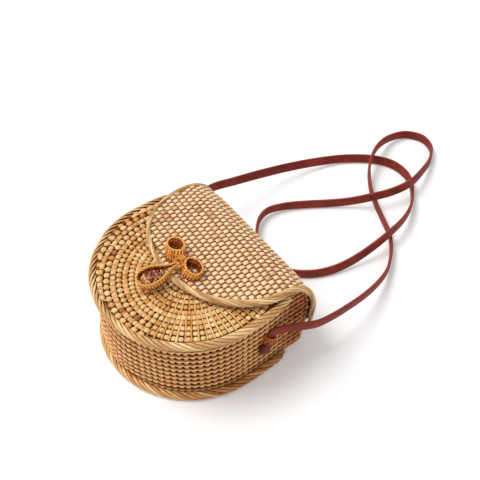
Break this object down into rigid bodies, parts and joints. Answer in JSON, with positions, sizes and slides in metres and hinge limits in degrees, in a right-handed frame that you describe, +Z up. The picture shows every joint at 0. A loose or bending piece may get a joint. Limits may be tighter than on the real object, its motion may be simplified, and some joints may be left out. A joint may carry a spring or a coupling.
{
  "type": "woven rattan crossbody bag",
  "caption": "Half-moon woven rattan bag with a hinged flap, a loop-and-button closure under a woven bow, and a flat leather shoulder strap.",
  "frame": {"origin": "on the floor under the middle of the bag, which lies on its back with the flap closed", "axes": "+X along the flap's hinge line to the bag's right side as seen from its front, +Y from the round bottom to the mouth, +Z up, out of the front face"},
  "size_m": [0.2076, 0.4526, 0.1035],
  "materials": {
    "straw": "woven split rattan, pale straw, smoked and waxed",
    "honey": "wrapped rattan cane, honey, satin",
    "brown": "woven split rattan, red-brown, satin",
    "orange": "woven rattan band, orange-brown, waxed",
    "dark": "wound rattan, dark purplish brown, satin",
    "navy": "printed cotton lining, navy with a pale pattern",
    "leather": "red-brown leather, stitched edges, satin"
  },
  "bodies": {
    "bag": {"front_panel": "straw", "back_panel": "straw", "gusset_wall": "brown", "front_rim": "honey", "back_rim": "honey", "mouth_rim": "honey", "body_lining": "navy", "hinge_cane": "honey", "button_shank": "dark", "button_ball": "dark", "strap_ring_left": "orange", "strap_ring_right": "orange", "strap_stop_left": "leather", "strap_stop_right": "leather", "shoulder_strap": "leather"},
    "flap": {"flap_panel": "straw", "flap_rim": "honey", "flap_lining": "navy", "hinge_lashing_1": "brown", "hinge_lashing_2": "brown", "hinge_lashing_3": "brown", "hinge_lashing_4": "brown", "hinge_lashing_5": "brown", "bow_loop_left": "orange", "bow_loop_right": "orange", "bow_knot": "orange", "loop_pin": "honey"},
    "loop": {"closure_loop": "orange"}
  },
  "joints": [
    {"name": "flap_hinge", "type": "hinge", "parent": "bag", "child": "flap", "pos_m": [0, 0.08248, 0.02409], "axis": [-1, 0, 0], "range_deg": [0, 90]},
    {"name": "loop_lift", "type": "hinge", "parent": "flap", "child": "loop", "pos_m": [0.0046, -0.01165, 0.10066], "axis": [-1, 0, 0], "range_deg": [0, 80]}
  ]
}
